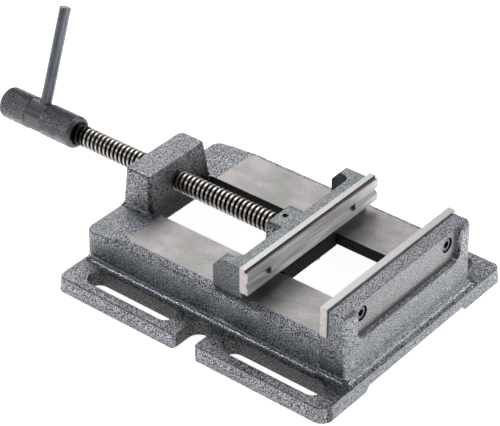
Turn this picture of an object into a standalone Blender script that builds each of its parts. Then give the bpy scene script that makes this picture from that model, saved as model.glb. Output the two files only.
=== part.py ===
"""Drill press vise with 150 mm jaws, built from separate parts. Metres, +Z up, +X towards the fixed jaw."""
import math

import bmesh
import bpy
from mathutils import Matrix, Vector

# Jaws. X is measured from the rear edge of the base, where the spindle comes in.
jaw_width = 0.150
jaw_height = 0.028
jaw_opening = 0.0618
fixed_plate_thickness = 0.0059
fixed_plate_height = 0.024
moving_plate_thickness = 0.0072
moving_plate_height = 0.0204
step_height = 0.0021
step_depth = 0.0024
groove_drop = 0.0122
groove_width = 0.0060
groove_depth = 0.0022
fixed_screw_inset = 0.025
moving_screw_inset = 0.0235
screw_row_shift = -0.0016

# Base casting: a slotted flange, a hollow body with two ways, the bridge and the fixed jaw
base_length = 0.243
base_width = 0.213
flange_thickness = 0.012
flange_draft = 0.0010
flange_edge = 0.0008
rear_corner = 0.006
near_front_corner = 0.009
far_front_corner = 0.006
body_width = 0.151
body_draft = 0.0008
body_corner = 0.0075
body_edge = 0.0012
jaw_step_corner = 0.0008
foot_fillet = 0.0055
way_level = 0.040
near_way_edge = 0.069
far_way_edge = 0.0749
way_corner = 0.003
way_start = 0.036
pad_drop = 0.0032
rim_drop = 0.0015
rim_slope = 0.008
rear_ramp = 0.026
slab_thickness = 0.0095
casting_wall = 0.007
cavity_corner = 0.008
window_width = 0.0624
window_corner = 0.002
arch_height = 0.0036
arch_width = 0.116
front_strip = 0.0078
fixed_jaw_width = 0.1474
fixed_jaw_depth = 0.0158
fixed_jaw_corner = 0.0042
plate_proud = 0.0017
seat_chamfer = 0.0008
recess_depth = 0.0039
recess_width = 0.121
recess_floor_height = 0.0285
recess_corner = 0.008
rib_drop = 0.006

# Clamping slots and the notch between them, on both sides
slot_width = 0.016
slot_inset = 0.0165
rear_slot_inset = 0.0175
rear_slot_gap = 0.022
front_slot_gap = 0.0245
front_slot_inset = 0.015
far_slot_trim = 0.0018
notch_width = 0.0185
notch_depth = 0.026
notch_share = 0.4918
notch_lip = 0.003

# Bridge that carries the spindle nut
bridge_width = 0.0626
bridge_length = 0.0236
bridge_rise = 0.0281
bridge_setback = 0.0012
bridge_draft = 0.10
bridge_edge = 0.0012
bridge_corner = 0.0035
bridge_fillet = 0.004
bridge_lip = 0.0029

# Spindle, its nut and the handle
spindle_rise = 0.0107
thread_diameter = 0.016
thread_pitch = 0.004
thread_depth = 0.00225
flank_angle = math.radians(15)
journal_diameter = 0.0105
neck_diameter = 0.0074
journal_length = 0.0170
shank_length = 0.014
thread_lead = 0.0035
thread_runout = 0.0025
thread_overrun = 0.006
end_chamfer = 0.0008
spindle_reach = 0.2022
nut_diameter = 0.024
nut_length = 0.021
thrust_washer_diameter = 0.018
thrust_washer_thickness = 0.001
handle_diameter = 0.025
handle_length = 0.0742
handle_cover = 0.0102
handle_dome = 0.0031
handle_dome_rise = 0.0068
handle_front_edge = 0.0026
handle_recess_diameter = 0.0185
handle_recess_depth = 0.007
flat_start = 0.0269
flat_length = 0.0165
flat_depth = 0.0006
bar_diameter = 0.009
bar_length = 0.0967
bar_from_end = 0.0369
bar_tilt = math.radians(20.5)
bar_seat = 0.008
bar_chamfer = 0.0006

# Moving jaw
moving_jaw_width = 0.144
moving_bar_depth = 0.0092
moving_bar_edge = 0.0008
ear_depth = 0.0268
ear_thickness = 0.0085
ear_chamfer_run = 0.0077
ear_chamfer_rise = 0.0092
ear_round = 0.003
ear_fillet = 0.0065
boss_depth = 0.0254
boss_edge = 0.0015
boss_width = 0.0306
boss_rise = 0.0118
boss_shoulder = 0.005
moving_proud = 0.0020
guide_lead = 0.0043
guide_length = 0.0275
grub_diameter = 0.0044
grub_recess = 0.0012
grub_place = 0.0062
handle_pin_diameter = 0.003
handle_pin_depth = 0.0085
handle_pin_place = 0.007

# Keeper plate under the ways and its bolts
keeper_length = 0.026
keeper_width = 0.092
keeper_thickness = 0.006
keeper_setback = 0.005
keeper_bolt_span_x = 0.013
keeper_bolt_span_y = 0.040
keeper_corner = 0.003
bolt_diameter = 0.005
bolt_head_width = 0.008
bolt_head_height = 0.0035
bolt_grip = 0.009
washer_diameter = 0.010
washer_thickness = 0.001

# Socket screws of the two jaw plates
cap_diameter = 0.006
cap_head_diameter = 0.010
cap_head_height = 0.006
cap_sink = 0.0008
cap_bite = 0.0045
cap_counterbore = 0.0118
cap_drop = 0.0107
cap_socket = 0.005
plate_screw_diameter = 0.004
plate_screw_head = 0.0060
plate_screw_head_height = 0.0026
plate_screw_bite = 0.0065
plate_screw_socket = 0.0025

# Clearances
slide_gap = 0.0003
rest_gap = 0.00005
thread_gap = 0.00030
screw_gap = 0.00005
turn_gap = 0.00006
flush = 0.00005
cutter_reach = 0.010

# Places worked out from the sizes above
jaw_top = way_level + jaw_height
notch_center = base_length * notch_share
pad_level = way_level - pad_drop
slab_bottom = way_level - slab_thickness
spindle_z = way_level + spindle_rise
jaw_back = base_length - front_strip
jaw_front = jaw_back - fixed_jaw_depth
fixed_face = jaw_front - fixed_plate_thickness
fixed_plate_bottom = jaw_top - fixed_plate_height
recess_floor = jaw_back - recess_depth
recess_bottom = jaw_top - recess_floor_height
moving_face = fixed_face - jaw_opening
moving_plate_back = moving_face - moving_plate_thickness
moving_plate_bottom = jaw_top - moving_plate_height
groove_z = jaw_top - groove_drop
bar_back = moving_plate_back - moving_bar_depth
boss_back = moving_plate_back - boss_depth
ear_back = moving_plate_back - ear_depth
boss_top = spindle_z + boss_rise
moving_top = jaw_top - moving_proud
guide_front = moving_plate_back + guide_lead
guide_back = guide_front - guide_length
guide_bottom = slab_bottom - slide_gap
guide_half = window_width / 2 - slide_gap
keeper_front = guide_front - keeper_setback
keeper_bottom = guide_bottom - keeper_thickness
window_front = fixed_face - 0.0014
bridge_top = way_level + bridge_rise
bridge_front_top = bridge_setback + bridge_length
nut_rear = bridge_setback + 0.0012
thread_end = boss_back - thrust_washer_thickness - turn_gap * 2
thread_start = thread_end - spindle_reach
handle_rear = thread_start + handle_cover - handle_length
handle_front = handle_rear + handle_length
bar_x = handle_rear + bar_from_end
grub_x = boss_back + grub_place
handle_pin_x = thread_start - handle_pin_place
frame_x = (handle_rear + base_length) / 2
sides = (("near", -1), ("far", 1))


def clear_scene():
    for item in list(bpy.data.objects):
        bpy.data.objects.remove(item)


def collection(name):
    group = bpy.data.collections.new(name)
    bpy.context.scene.collection.children.link(group)
    return group


def material(name, color, roughness, metallic):
    look = bpy.data.materials.new(name)
    look.use_nodes = True
    shader = look.node_tree.nodes["Principled BSDF"]
    shader.inputs["Base Color"].default_value = (*color, 1)
    shader.inputs["Roughness"].default_value = roughness
    shader.inputs["Metallic"].default_value = metallic
    return look


def make(name, mesh, group, look=None, origin=(0, 0, 0)):
    bmesh.ops.recalc_face_normals(mesh, faces=mesh.faces)
    bmesh.ops.translate(mesh, verts=mesh.verts, vec=-Vector(origin))
    data = bpy.data.meshes.new(name)
    mesh.to_mesh(data)
    mesh.free()
    item = bpy.data.objects.new(name, data)
    item.location = origin
    group.objects.link(item)
    if look:
        data.materials.append(look)
    else:
        item.hide_render = True
        item.display_type = "WIRE"
    return item


def combine(target, other, operation):
    step = target.modifiers.new(operation.lower() + " " + other.name, "BOOLEAN")
    step.operation = operation
    step.solver = "EXACT"
    step.object = other
    other.parent = target
    other.location -= target.location


def join(target, *others):
    for other in others:
        combine(target, other, "UNION")


def cut(target, *others):
    for other in others:
        combine(target, other, "DIFFERENCE")


def rounded(corners, segments=4):
    # An arc replaces each corner (x, y, radius) of a closed outline.
    points = []
    count = len(corners)
    for i, (x, y, radius) in enumerate(corners):
        here = Vector((x, y))
        back = (Vector(corners[i - 1][:2]) - here).normalized()
        ahead = (Vector(corners[(i + 1) % count][:2]) - here).normalized()
        half = back.angle(ahead) / 2
        reach = radius / math.tan(half)
        center = here + (back + ahead).normalized() * radius / math.sin(half)
        start = here + back * reach - center
        end = here + ahead * reach - center
        sweep = start.angle_signed(end, 0)
        for k in range(segments + 1):
            points.append(center + Matrix.Rotation(-sweep * k / segments, 2) @ start)
    return points


def rectangle(x0, x1, y0, y1, radius, segments=4):
    return rounded([(x0, y0, radius), (x1, y0, radius), (x1, y1, radius), (x0, y1, radius)], segments)


def loft(rings):
    mesh = bmesh.new()
    loops = [[mesh.verts.new(point) for point in ring] for ring in rings]
    count = len(loops[0])
    for low, high in zip(loops, loops[1:]):
        for i in range(count):
            j = (i + 1) % count
            mesh.faces.new((low[i], low[j], high[j], high[i]))
    mesh.faces.new(reversed(loops[0]))
    mesh.faces.new(loops[-1])
    return mesh


def prism_z(outline, z0, z1):
    return loft([[(x, y, z) for x, y in outline] for z in (z0, z1)])


def prism_y(outline, y0, y1):
    return loft([[(x, y, z) for x, z in outline] for y in (y0, y1)])


def prism_x(outline, x0, x1):
    return loft([[(x, y, z) for y, z in outline] for x in (x0, x1)])


def turned(profile, segments=32):
    # Revolves (distance along the axis, radius) pairs about the Z axis, pointed where the radius is 0.
    mesh = bmesh.new()
    loops = []
    for along, radius in profile:
        if radius == 0:
            loops.append([mesh.verts.new((0, 0, along))])
            continue
        angles = [2 * math.pi * k / segments for k in range(segments)]
        loops.append([mesh.verts.new((radius * math.cos(a), radius * math.sin(a), along)) for a in angles])
    for low, high in zip(loops, loops[1:]):
        for i in range(segments):
            j = (i + 1) % segments
            ring = [low[i % len(low)], low[j % len(low)], high[j % len(high)], high[i % len(high)]]
            mesh.faces.new(list(dict.fromkeys(ring)))
    return mesh


def rod(radius, start, end, segments=32):
    return turned([(start, 0), (start, radius), (end, radius), (end, 0)], segments)


def hexagon(width, start, end):
    return rod(width / math.sqrt(3), start, end, 6)


def aim_x(mesh, y, z):
    # Turns a mesh made along Z so that it lies along X, at height z.
    bmesh.ops.rotate(mesh, verts=mesh.verts, matrix=Matrix.Rotation(math.pi / 2, 3, "Y"))
    bmesh.ops.translate(mesh, verts=mesh.verts, vec=(0, y, z))
    return mesh


def shift(mesh, x, y, z=0.0):
    bmesh.ops.translate(mesh, verts=mesh.verts, vec=(x, y, z))
    return mesh


def thread(start, end, crest_radius, depth, crest_flat, segments=16):
    # One trapezoidal ridge winds about X, in step with the point x = 0; it closes on the axis at both ends.
    run = depth * math.tan(flank_angle)
    root = crest_radius - depth
    profile = [(-crest_flat / 2 - run, root), (-crest_flat / 2, crest_radius)]
    profile += [(crest_flat / 2, crest_radius), (crest_flat / 2 + run, root)]
    first = math.floor(start / thread_pitch * segments)
    last = math.ceil(end / thread_pitch * segments)
    mesh = bmesh.new()
    rows = []
    for i in range(first, last + 1):
        angle = 2 * math.pi * i / segments
        x = thread_pitch * i / segments
        points = [(x + dx, r * math.cos(angle), r * math.sin(angle)) for dx, r in profile]
        rows.append([mesh.verts.new(point) for point in points])
    for i, (here, ahead) in enumerate(zip(rows, rows[1:])):
        for k in range(3):
            mesh.faces.new((here[k], here[k + 1], ahead[k + 1], ahead[k]))
        if i + segments + 1 < len(rows):
            mesh.faces.new((here[3], rows[i + segments][0], rows[i + segments + 1][0], ahead[3]))
    begin = mesh.verts.new((thread_pitch * first / segments, 0, 0))
    finish = mesh.verts.new((thread_pitch * last / segments, 0, 0))
    edge = rows[0] + [row[0] for row in rows[segments:0:-1]]
    for a, b in zip(edge, edge[1:] + edge[:1]):
        mesh.faces.new((begin, a, b))
    edge = list(reversed(rows[-1])) + [row[3] for row in rows[-segments - 1:-1]]
    for a, b in zip(edge, edge[1:] + edge[:1]):
        mesh.faces.new((finish, a, b))
    return mesh


def bridge_front(z):
    return bridge_front_top + bridge_draft * (bridge_top - z)


def flange():
    inner = flange_thickness - flange_edge
    levels = [(0, 0), (inner, flange_draft)]
    for k in (1, 2, 3):
        a = math.pi / 6 * k
        levels.append((inner + flange_edge * math.sin(a), flange_draft + flange_edge * (1 - math.cos(a))))
    rings = []
    for z, inset in levels:
        x0, x1, y = inset - flange_draft, base_length - inset, base_width / 2 - inset
        corners = [(x0, -y, rear_corner), (x1, -y, near_front_corner)]
        corners += [(x1, y, far_front_corner), (x0, y, rear_corner)]
        rings.append([(px, py, z) for px, py in rounded(corners, 6)])
    return loft(rings)


def body():
    # The side walls and the front face flow into the flange; the rear face goes on from the flange's.
    levels = [(flange_thickness - 0.003, foot_fillet)]
    for k in range(5):
        a = math.pi / 8 * k
        levels.append((flange_thickness + foot_fillet * (1 - math.cos(a)), foot_fillet * (1 - math.sin(a))))
    for k in range(4):
        a = math.pi / 6 * k
        levels.append((pad_level - body_edge * (1 - math.sin(a)), body_edge * (math.cos(a) - 1)))
    rings = []
    for z, out in levels:
        out += body_draft * (pad_level - z) / (pad_level - flange_thickness)
        rear = flush + max(0, -out)
        wide, narrow, front = body_width / 2 + out, fixed_jaw_width / 2 + out, jaw_back + out
        step = fixed_face + min(0, out)
        half = [(rear, -wide, body_corner), (step, -wide, jaw_step_corner), (step, -narrow, jaw_step_corner)]
        half.append((front, -narrow, fixed_jaw_corner))
        corners = half + [(x, -y, r) for x, y, r in reversed(half)]
        rings.append([(px, py, z) for px, py in rounded(corners)])
    return loft(rings)


def ways():
    # Cast land with sloping shoulders, milled flat on top; the far shoulder is nearly level with the top.
    wide, front = body_width / 2 - flush * 4, fixed_face + flush * 4
    rear = way_start - rear_ramp
    levels = [(pad_level - rim_slope / 2, rear, wide, wide), (pad_level + rim_drop / 4, rear, wide, wide)]
    levels.append((way_level - rim_drop, way_start - rear_ramp / 2, wide - rim_drop * 0.7, wide - flush * 2))
    levels.append((way_level, way_start, near_way_edge, far_way_edge))
    rings = []
    for z, x0, near, far in levels:
        corners = [(x0, -near, way_corner), (front, -near, way_corner / 6)]
        corners += [(front, far, way_corner / 6), (x0, far, way_corner)]
        rings.append([(px, py, z) for px, py in rounded(corners)])
    return loft(rings)


def bridge():
    levels = [(slab_bottom, bridge_fillet)]
    for k in range(5):
        a = math.pi / 8 * k
        levels.append((pad_level + bridge_fillet * (1 - math.cos(a)), bridge_fillet * (1 - math.sin(a))))
    for k in range(4):
        a = math.pi / 6 * k
        levels.append((bridge_top - bridge_edge * (1 - math.sin(a)), bridge_edge * (math.cos(a) - 1)))
    rings = []
    for z, out in levels:
        wide = bridge_width / 2 + out + bridge_draft * (bridge_top - z)
        rear = flush * 2 + bridge_setback * max(0, z - pad_level) / bridge_rise + max(0, -out)
        outline = rectangle(rear, bridge_front(z) + out, -wide, wide, bridge_corner)
        rings.append([(px, py, z) for px, py in outline])
    return loft(rings)


def fixed_jaw():
    # Wall behind the plate: chamfered towards the plate, rounded at the back, the ribs' tops sloping.
    half, back = fixed_jaw_width / 2 - flush * 3, jaw_back - flush * 3
    stations = [(jaw_front, seat_chamfer, seat_chamfer * 0.6), (jaw_front + seat_chamfer, 0, 0)]
    for k in range(4):
        a = math.pi / 6 * k
        x = back - fixed_jaw_corner * (1 - math.sin(a))
        stations.append((x, fixed_jaw_corner * (1 - math.cos(a)), rib_drop * (1 - math.cos(a))))
    rings = []
    for x, side, down in stations:
        top = jaw_top - plate_proud - down
        outline = rectangle(-half + side, half - side, slab_bottom, top, 0.0012)
        rings.append([(x, y, z) for y, z in outline])
    return loft(rings)


def fixed_jaw_foot():
    half, front = fixed_jaw_width / 2 - flush * 6, jaw_front + fixed_jaw_depth / 4
    outline = rectangle(fixed_face + flush * 2, front, -half, half, seat_chamfer)
    return prism_z(outline, slab_bottom - flush, fixed_plate_bottom)


def slot_outline(start, end, y):
    return rectangle(start, end, y - slot_width / 2, y + slot_width / 2, slot_width / 2 * 0.9999, 8)


def notch_outline(side):
    edge, half = base_width / 2 + 0.00002, notch_width / 2
    deep = base_width / 2 - notch_depth
    far, out = half + cutter_reach, edge + cutter_reach / 2
    left = [(notch_center - far, out, notch_lip / 3), (notch_center - far, edge, notch_lip / 3)]
    left += [(notch_center - half, edge, notch_lip), (notch_center - half, deep, half * 0.999)]
    corners = left + [(2 * notch_center - x, y, r) for x, y, r in reversed(left)]
    return [(x, side * y) for x, y in rounded(corners, 6)]


def cavity(x0, top):
    rings = []
    for z, inset in ((-0.002, 0), (top, body_draft)):
        y = body_width / 2 - casting_wall - inset
        outline = rectangle(x0 + inset, jaw_back - casting_wall - inset, -y, y, cavity_corner)
        rings.append([(px, py, z) for px, py in outline])
    return loft(rings)


def rear_cavity():
    y = body_width / 2 - casting_wall - body_draft / 2
    outline = rectangle(casting_wall, bridge_front(slab_bottom) + 0.003, -y, y, 0.004)
    return prism_z(outline, -0.002, slab_bottom - bridge_lip)


def window():
    rings, half = [], window_width / 2
    for z in (slab_bottom - bridge_lip - 0.001, way_level + 0.003):
        outline = rectangle(bridge_front(z) + flush, window_front, -half, half, window_corner)
        rings.append([(px, py, z) for px, py in outline])
    return loft(rings)


def arch():
    low, high = arch_width / 2 + 0.002, arch_width / 2 - 0.002
    outline = [(-low, -0.001), (low, -0.001), (high, arch_height), (-high, arch_height)]
    return prism_x(outline, -cutter_reach, base_length + cutter_reach)


def recess():
    half, top = recess_width / 2, jaw_top + cutter_reach
    corners = [(-half, recess_bottom, recess_corner), (half, recess_bottom, recess_corner)]
    corners += [(half, top, 0.001), (-half, top, 0.001)]
    return prism_x(rounded(corners, 6), recess_floor, jaw_back + cutter_reach)


def base_casting(parts, tools, look):
    casting = make("base_casting", flange(), parts, look)
    blocks = {"body block": body(), "way block": ways(), "bridge block": bridge()}
    blocks["fixed jaw block"] = fixed_jaw()
    blocks["fixed jaw foot block"] = fixed_jaw_foot()
    join(casting, *[make(name, mesh, tools) for name, mesh in blocks.items()])
    hollows = {"cavity cut": cavity(bridge_front(slab_bottom) + 0.0005, slab_bottom)}
    hollows["rear cavity cut"] = rear_cavity()
    hollows["window cut"] = window()
    hollows["arch cut"] = arch()
    hollows["recess cut"] = recess()
    bore = (nut_diameter / 2, spindle_gate_radius())
    hollows["nut bore cut"] = aim_x(rod(bore[0], -cutter_reach, nut_rear + nut_length, 32), 0, spindle_z)
    gate = rod(bore[1], 0, bridge_front(spindle_z) + cutter_reach, 32)
    hollows["spindle hole cut"] = aim_x(gate, 0, spindle_z)
    for word, side in sides:
        y = side * (base_width / 2 - slot_inset)
        rear = slot_outline(rear_slot_inset, notch_center - rear_slot_gap, y)
        end = base_length - front_slot_inset - far_slot_trim * max(0, side)
        front = slot_outline(notch_center + front_slot_gap, end, y)
        hollows["rear slot cut " + word] = prism_z(rear, -0.002, flange_thickness + 0.003)
        hollows["front slot cut " + word] = prism_z(front, -0.002, flange_thickness + 0.003)
        hollows["notch cut " + word] = prism_z(notch_outline(side), -0.002, flange_thickness + 0.003)
        y = fixed_screw_y(side)
        head = aim_x(rod(cap_counterbore / 2, cap_seat(), jaw_back + cutter_reach, 24), y, cap_z())
        shank = rod(cap_diameter / 2 + screw_gap, jaw_front - 0.002, cap_seat() + 0.001, 24)
        hollows["cap head cut " + word] = head
        hollows["cap shank cut " + word] = aim_x(shank, y, cap_z())
    cut(casting, *[make(name, mesh, tools) for name, mesh in hollows.items()])
    return casting


def spindle_gate_radius():
    return thread_diameter / 2 + thread_gap * 2


def cap_seat():
    return recess_floor - cap_sink - cap_head_height


def cap_z():
    return jaw_top - cap_drop


def fixed_screw_y(side):
    return side * (jaw_width / 2 - fixed_screw_inset) + screw_row_shift


def moving_screw_y(side):
    return side * (moving_jaw_width / 2 - moving_screw_inset) + screw_row_shift


def spindle_nut(parts, tools, look):
    end = nut_rear + nut_length
    mesh = rod(nut_diameter / 2 - flush, nut_rear, end, 32)
    nut = make("spindle_nut", aim_x(mesh, 0, spindle_z), parts, look)
    radius = thread_diameter / 2 + thread_gap
    flat = 0.366 * thread_pitch + 2 * thread_gap
    ridge = thread(nut_rear - 0.004, end + 0.004, radius, thread_depth, flat)
    cut(nut, make("nut thread cut", shift(ridge, 0, 0, spindle_z), tools))
    return nut


def fixed_jaw_plate(parts, tools, look):
    outline = rectangle(fixed_face, jaw_front - flush, -jaw_width / 2, jaw_width / 2, 0.0004, 2)
    plate = make("fixed_jaw_plate", prism_z(outline, fixed_plate_bottom + flush, jaw_top), parts, look)
    for word, side in sides:
        hole = rod(cap_diameter / 2 + screw_gap, jaw_front - cap_bite - 0.0003, jaw_front + 0.001, 24)
        cut(plate, make("fixed plate hole " + word, aim_x(hole, fixed_screw_y(side), cap_z()), tools))
    return plate


def socket_screw(name, parts, tools, look, sizes, seat, y, z):
    # A round head with a hexagon socket; the shank runs against X from the seat.
    radius, bite, head_radius, head_height, socket = sizes
    edge = head_radius * 0.08
    profile = [(-bite, 0), (-bite, radius), (0, radius), (0, head_radius), (head_height - edge, head_radius)]
    profile += [(head_height, head_radius - edge), (head_height, 0)]
    mesh = turned(profile, 24)
    screw = make(name, shift(aim_x(mesh, y, z), seat, 0), parts, look, (seat, y, z))
    hole = hexagon(socket, head_height * 0.45, head_height + 0.001)
    cut(screw, make(name + " socket", shift(aim_x(hole, y, z), seat, 0), tools))
    return screw


def moving_jaw_casting(parts, tools, look):
    # A bar across the vise with an ear at each end, seen from above, then shaped to the ears' side view.
    low, half = way_level + rest_gap, moving_jaw_width / 2
    inner, front = half - ear_thickness, moving_plate_back - flush
    near = [(ear_back, -inner, boss_edge), (ear_back, -half, boss_edge), (front, -half, moving_bar_edge)]
    plan = near + [(x, -y, r) for x, y, r in reversed(near)]
    plan += [(bar_back, inner, ear_fillet), (bar_back, -inner, ear_fillet)]
    mesh = prism_z(rounded(plan, 6), low, moving_top + 0.004)
    jaw = make("moving_jaw_casting", mesh, parts, look, (bar_back, 0, spindle_z))
    slope = ear_chamfer_rise / ear_chamfer_run
    side = [(ear_back - 0.001, low - 0.001, 0.0001), (front + 0.001, low - 0.001, 0.0001)]
    side += [(front + 0.001, moving_top, 0.0001), (ear_back + ear_chamfer_run, moving_top, ear_round)]
    side.append((ear_back - 0.001, moving_top - ear_chamfer_rise - 0.001 * slope, ear_round / 3))
    view = prism_y(rounded(side), -half - 0.001, half + 0.001)
    combine(jaw, make("ear side view", view, tools), "INTERSECT")
    join(jaw, make("boss block", boss(low), tools))
    guide = rectangle(guide_back, guide_front, -guide_half, guide_half, 0.0015)
    join(jaw, make("guide block", prism_z(guide, guide_bottom, way_level + 0.001), tools))
    bore = rod(journal_diameter / 2 + turn_gap, boss_back - 0.002, boss_back + journal_length + 0.0004, 32)
    cut(jaw, make("journal bore cut", aim_x(bore, 0, spindle_z), tools))
    tap = rod(grub_diameter / 2 + screw_gap, spindle_z + neck_diameter / 2, boss_top + 0.002, 16)
    cut(jaw, make("grub hole cut", shift(tap, grub_x, 0), tools))
    for word, side in sides:
        bore = plate_screw_diameter / 2 + screw_gap
        hole = rod(bore, plate_screw_tip() - 0.0004, moving_plate_back + 0.001, 16)
        cut(jaw, make("plate screw hole " + word, aim_x(hole, moving_screw_y(side), groove_z), tools))
    for number, (x, y) in enumerate(keeper_bolt_places(), 1):
        hole = rod(bolt_diameter / 2 + screw_gap, guide_bottom - 0.002, guide_bottom + bolt_grip + 0.0004, 16)
        cut(jaw, make("keeper bolt hole %d" % number, shift(hole, x, y), tools))
    return jaw


def boss(low):
    # Block behind the bar that takes the end of the spindle, round-shouldered, its rear edge eased.
    rings = []
    for ahead in (0, 0.3, 1):
        rings.append((boss_back + boss_edge * ahead, boss_edge * (1, 0.3, 0)[len(rings)]))
    rings.append((bar_back + 0.002, 0))
    loops = []
    for x, inset in rings:
        half, top = boss_width / 2 - inset, boss_top - inset
        corners = [(-half, low + flush, 0.0005), (half, low + flush, 0.0005)]
        corners += [(half, top, boss_shoulder), (-half, top, boss_shoulder)]
        loops.append([(x, y, z) for y, z in rounded(corners, 6)])
    return loft(loops)


def plate_screw_seat():
    return moving_face - groove_depth - plate_screw_head_height


def plate_screw_tip():
    return moving_plate_back - plate_screw_bite


def moving_jaw_plate(parts, tools, look):
    # Prismatic jaw: a step along the top edge and a V groove for round work.
    low, high = groove_z - groove_width / 2, groove_z + groove_width / 2
    outline = [(moving_plate_back, moving_plate_bottom), (moving_face, moving_plate_bottom)]
    outline += [(moving_face, low), (moving_face - groove_depth, groove_z), (moving_face, high)]
    outline.append((moving_face, jaw_top - step_height))
    outline += [(moving_face - step_depth, jaw_top - step_height), (moving_face - step_depth, jaw_top)]
    outline.append((moving_plate_back, jaw_top))
    mesh = prism_y(outline, -jaw_width / 2, jaw_width / 2)
    plate = make("moving_jaw_plate", mesh, parts, look, (moving_plate_back, 0, groove_z))
    for word, side in sides:
        y = moving_screw_y(side)
        shank = rod(plate_screw_diameter / 2 + screw_gap, moving_plate_back - 0.001, moving_face, 16)
        head = rod(plate_screw_head / 2 + screw_gap * 3, plate_screw_seat(), moving_face + 0.001, 24)
        cut(plate, make("plate shank cut " + word, aim_x(shank, y, groove_z), tools))
        cut(plate, make("plate head cut " + word, aim_x(head, y, groove_z), tools))
    return plate


def keeper_bolt_places():
    x = keeper_front - keeper_length / 2
    return [
        (x + a * keeper_bolt_span_x / 2, b * keeper_bolt_span_y / 2) for a in (-1, 1) for b in (-1, 1)
    ]


def keeper_plate(parts, tools, look):
    half = keeper_width / 2
    outline = rectangle(keeper_front - keeper_length, keeper_front, -half, half, keeper_corner)
    origin = (keeper_front - keeper_length / 2, 0, keeper_bottom)
    plate = make("keeper_plate", prism_z(outline, keeper_bottom, guide_bottom - flush), parts, look, origin)
    for number, (x, y) in enumerate(keeper_bolt_places(), 1):
        hole = rod(bolt_diameter / 2 + screw_gap * 4, keeper_bottom - 0.001, guide_bottom + 0.001, 16)
        cut(plate, make("keeper hole %d" % number, shift(hole, x, y), tools))
    return plate


def keeper_bolt(number, x, y, parts, tools, look):
    seat = keeper_bottom - washer_thickness
    shank = shift(rod(bolt_diameter / 2, seat - 0.0005, guide_bottom + bolt_grip, 16), x, y)
    bolt = make("keeper_bolt_%d" % number, shank, parts, look, (x, y, seat))
    head = shift(hexagon(bolt_head_width, seat - bolt_head_height, seat - flush), x, y)
    join(bolt, make("keeper bolt head %d" % number, head, tools))
    return bolt


def keeper_washer(number, x, y, parts, look):
    low, high = keeper_bottom - washer_thickness, keeper_bottom - flush
    inner, outer = bolt_diameter / 2 + screw_gap * 4, washer_diameter / 2
    mesh = turned([(low, inner), (low, outer), (high, outer), (high, inner), (low, inner)], 24)
    bmesh.ops.remove_doubles(mesh, verts=mesh.verts, dist=1e-6)
    return make("keeper_washer_%d" % number, shift(mesh, x, y), parts, look, (x, y, low))


def spindle(parts, tools, look):
    # The thread is trimmed by a turned blank, then the journal and the shank for the handle are added.
    flat = 0.366 * thread_pitch
    mesh = thread(
        thread_start - thread_overrun, thread_end + thread_overrun, thread_diameter / 2, thread_depth, flat
    )
    screw = make("spindle", shift(mesh, 0, 0, spindle_z), parts, look, (boss_back, 0, spindle_z))
    crest, root = thread_diameter / 2 + end_chamfer, thread_diameter / 2 - thread_depth
    blank = [(thread_start, 0), (thread_start, root), (thread_start + thread_lead, crest)]
    blank += [(thread_end - thread_runout, crest), (thread_end, root + end_chamfer / 2), (thread_end, 0)]
    trim = make("thread blank", aim_x(turned(blank, 48), 0, spindle_z), tools)
    combine(screw, trim, "INTERSECT")
    neck, journal, inside = neck_diameter / 2, journal_diameter / 2, journal_diameter / 2 - end_chamfer
    wide, end = grub_diameter / 2 + thread_gap, boss_back + journal_length
    buried = thread_end - thread_pitch
    front = [(buried, 0), (buried, inside), (buried + end_chamfer, journal)]
    front += [(grub_x - wide, journal), (grub_x - wide, neck)]
    front += [(grub_x + wide, neck), (grub_x + wide, journal)]
    front += [(end - end_chamfer, journal), (end, journal - end_chamfer), (end, 0)]
    join(screw, make("journal block", aim_x(turned(front, 32), 0, spindle_z), tools))
    tail, buried = thread_start - shank_length, thread_start + thread_pitch
    back = [(tail, 0), (tail, inside), (tail + end_chamfer, journal), (buried - end_chamfer, journal)]
    back += [(buried, inside), (buried, 0)]
    join(screw, make("shank block", aim_x(turned(back, 32), 0, spindle_z), tools))
    cut(screw, make("shank pin cut", handle_pin_mesh(screw_gap), tools))
    return screw


def handle_pin_mesh(gap):
    # Stands below the spindle, from inside the shank to just under the handle's surface.
    outer = handle_diameter / 2 - flat_depth
    inner = outer - handle_pin_depth
    reach = flat_depth * 3 if gap else 0
    mesh = rod(handle_pin_diameter / 2 + gap, -outer - reach, -inner + gap * 4, 16)
    return shift(mesh, handle_pin_x, 0, spindle_z)


def handle_sleeve(parts, tools, look):
    radius, edge = handle_diameter / 2, handle_front_edge
    profile = [(handle_rear, 0)]
    for k in range(6):
        a = math.pi / 10 * k
        along = handle_rear + handle_dome * (1 - math.cos(a))
        profile.append((along, radius - handle_dome_rise * (1 - math.sin(a))))
    for k in range(5):
        a = math.pi / 8 * k
        profile.append((handle_front - edge * (1 - math.sin(a)), radius - edge * (1 - math.cos(a))))
    profile.append((handle_front, 0))
    mesh = aim_x(turned(profile, 48), 0, spindle_z)
    sleeve = make("handle_sleeve", mesh, parts, look, (bar_x, 0, spindle_z))
    inner, outer = thread_diameter / 2 + thread_gap, handle_recess_diameter / 2
    bottom, ledge = thread_start - shank_length - thread_gap, thread_start - thread_gap
    mouth = [(bottom, 0), (bottom, shank_bore()), (ledge, shank_bore()), (ledge, inner)]
    mouth += [(handle_front - handle_recess_depth, inner), (handle_front - handle_recess_depth, outer)]
    mouth += [(handle_front + cutter_reach, outer), (handle_front + cutter_reach, 0)]
    cut(sleeve, make("handle bore cut", aim_x(turned(mouth, 32), 0, spindle_z), tools))
    cut(sleeve, make("handle flats cut", flats_ring(radius), tools))
    cut(sleeve, make("handle bar hole", bar_hole(), tools))
    cut(sleeve, make("handle pin cut", handle_pin_mesh(screw_gap), tools))
    return sleeve


def shank_bore():
    return journal_diameter / 2 + screw_gap


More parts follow.
